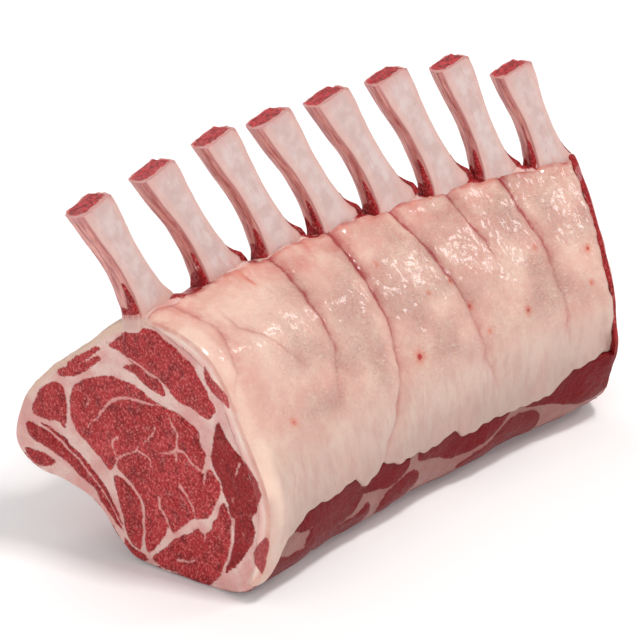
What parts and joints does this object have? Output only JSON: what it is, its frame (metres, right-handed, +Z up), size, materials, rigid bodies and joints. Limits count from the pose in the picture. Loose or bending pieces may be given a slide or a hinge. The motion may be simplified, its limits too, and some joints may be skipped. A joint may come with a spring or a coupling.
{
  "type": "frenched rack of lamb",
  "caption": "Raw frenched rack of lamb: a long body of marbled lean meat under a creased fat cap, with a row of cleaned rib bones standing up and leaning back.",
  "frame": {"origin": "middle of the box's footprint, on the surface that the rack rests on", "axes": "+X along the rack towards its far end, away from the cut face with the eye of meat; the fat cap faces -Y; +Z up, the way the bones stand"},
  "size_m": [0.2268, 0.1052, 0.1342],
  "materials": {
    "lean": "raw lean meat, moist, deep red with pale seams of fat and fine marbling",
    "fat": "raw fat, cream with a pink tint, moist and slightly glossy",
    "bone": "cleaned bone, pale pink, satin, with red spongy cut ends"
  },
  "bodies": {
    "root": {"meat": "lean", "fat_cap": "fat", "rib_1": "bone", "rib_2": "bone", "rib_3": "bone", "rib_4": "bone", "rib_5": "bone", "rib_6": "bone", "rib_7": "bone", "rib_8": "bone"}
  },
  "joints": []
}
